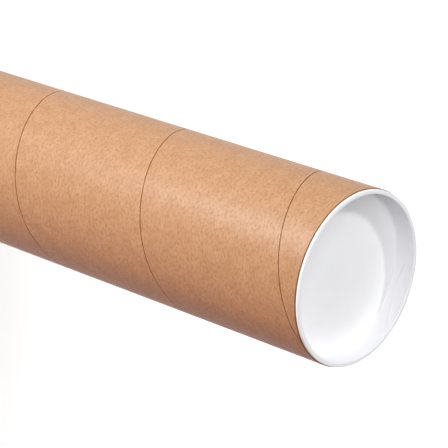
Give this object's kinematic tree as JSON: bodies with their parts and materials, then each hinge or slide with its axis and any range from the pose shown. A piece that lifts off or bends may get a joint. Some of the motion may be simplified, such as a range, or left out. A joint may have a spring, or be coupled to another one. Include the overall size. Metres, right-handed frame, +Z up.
{
  "type": "cardboard mailing tube",
  "caption": "Spiral-wound cardboard mailing tube standing on end, closed at each end by a recessed push-in plastic plug with a narrow flange.",
  "frame": {"origin": "centre of the ring on which the lower plug's flange stands", "axes": "+Z up along the tube's axis; +X and +Y are free directions across it"},
  "size_m": [0.1056, 0.1056, 0.6124],
  "materials": {
    "tube_board": "calendered natural kraft paper, spirally wound, with one open butt seam",
    "plug_plastic": "moulded white low-density polyethylene, satin"
  },
  "bodies": {
    "bottom_plug": {"bottom_plug": "plug_plastic"},
    "tube": {"tube": "tube_board"},
    "top_plug": {"top_plug": "plug_plastic"}
  },
  "joints": [
    {"name": "bottom_plug_pull", "type": "slide", "parent": "bottom_plug", "child": "tube", "axis": [0, 0, 1], "range_m": [0, 0.03]},
    {"name": "top_plug_pull", "type": "slide", "parent": "tube", "child": "top_plug", "axis": [0, 0, 1], "range_m": [0, 0.03]}
  ]
}
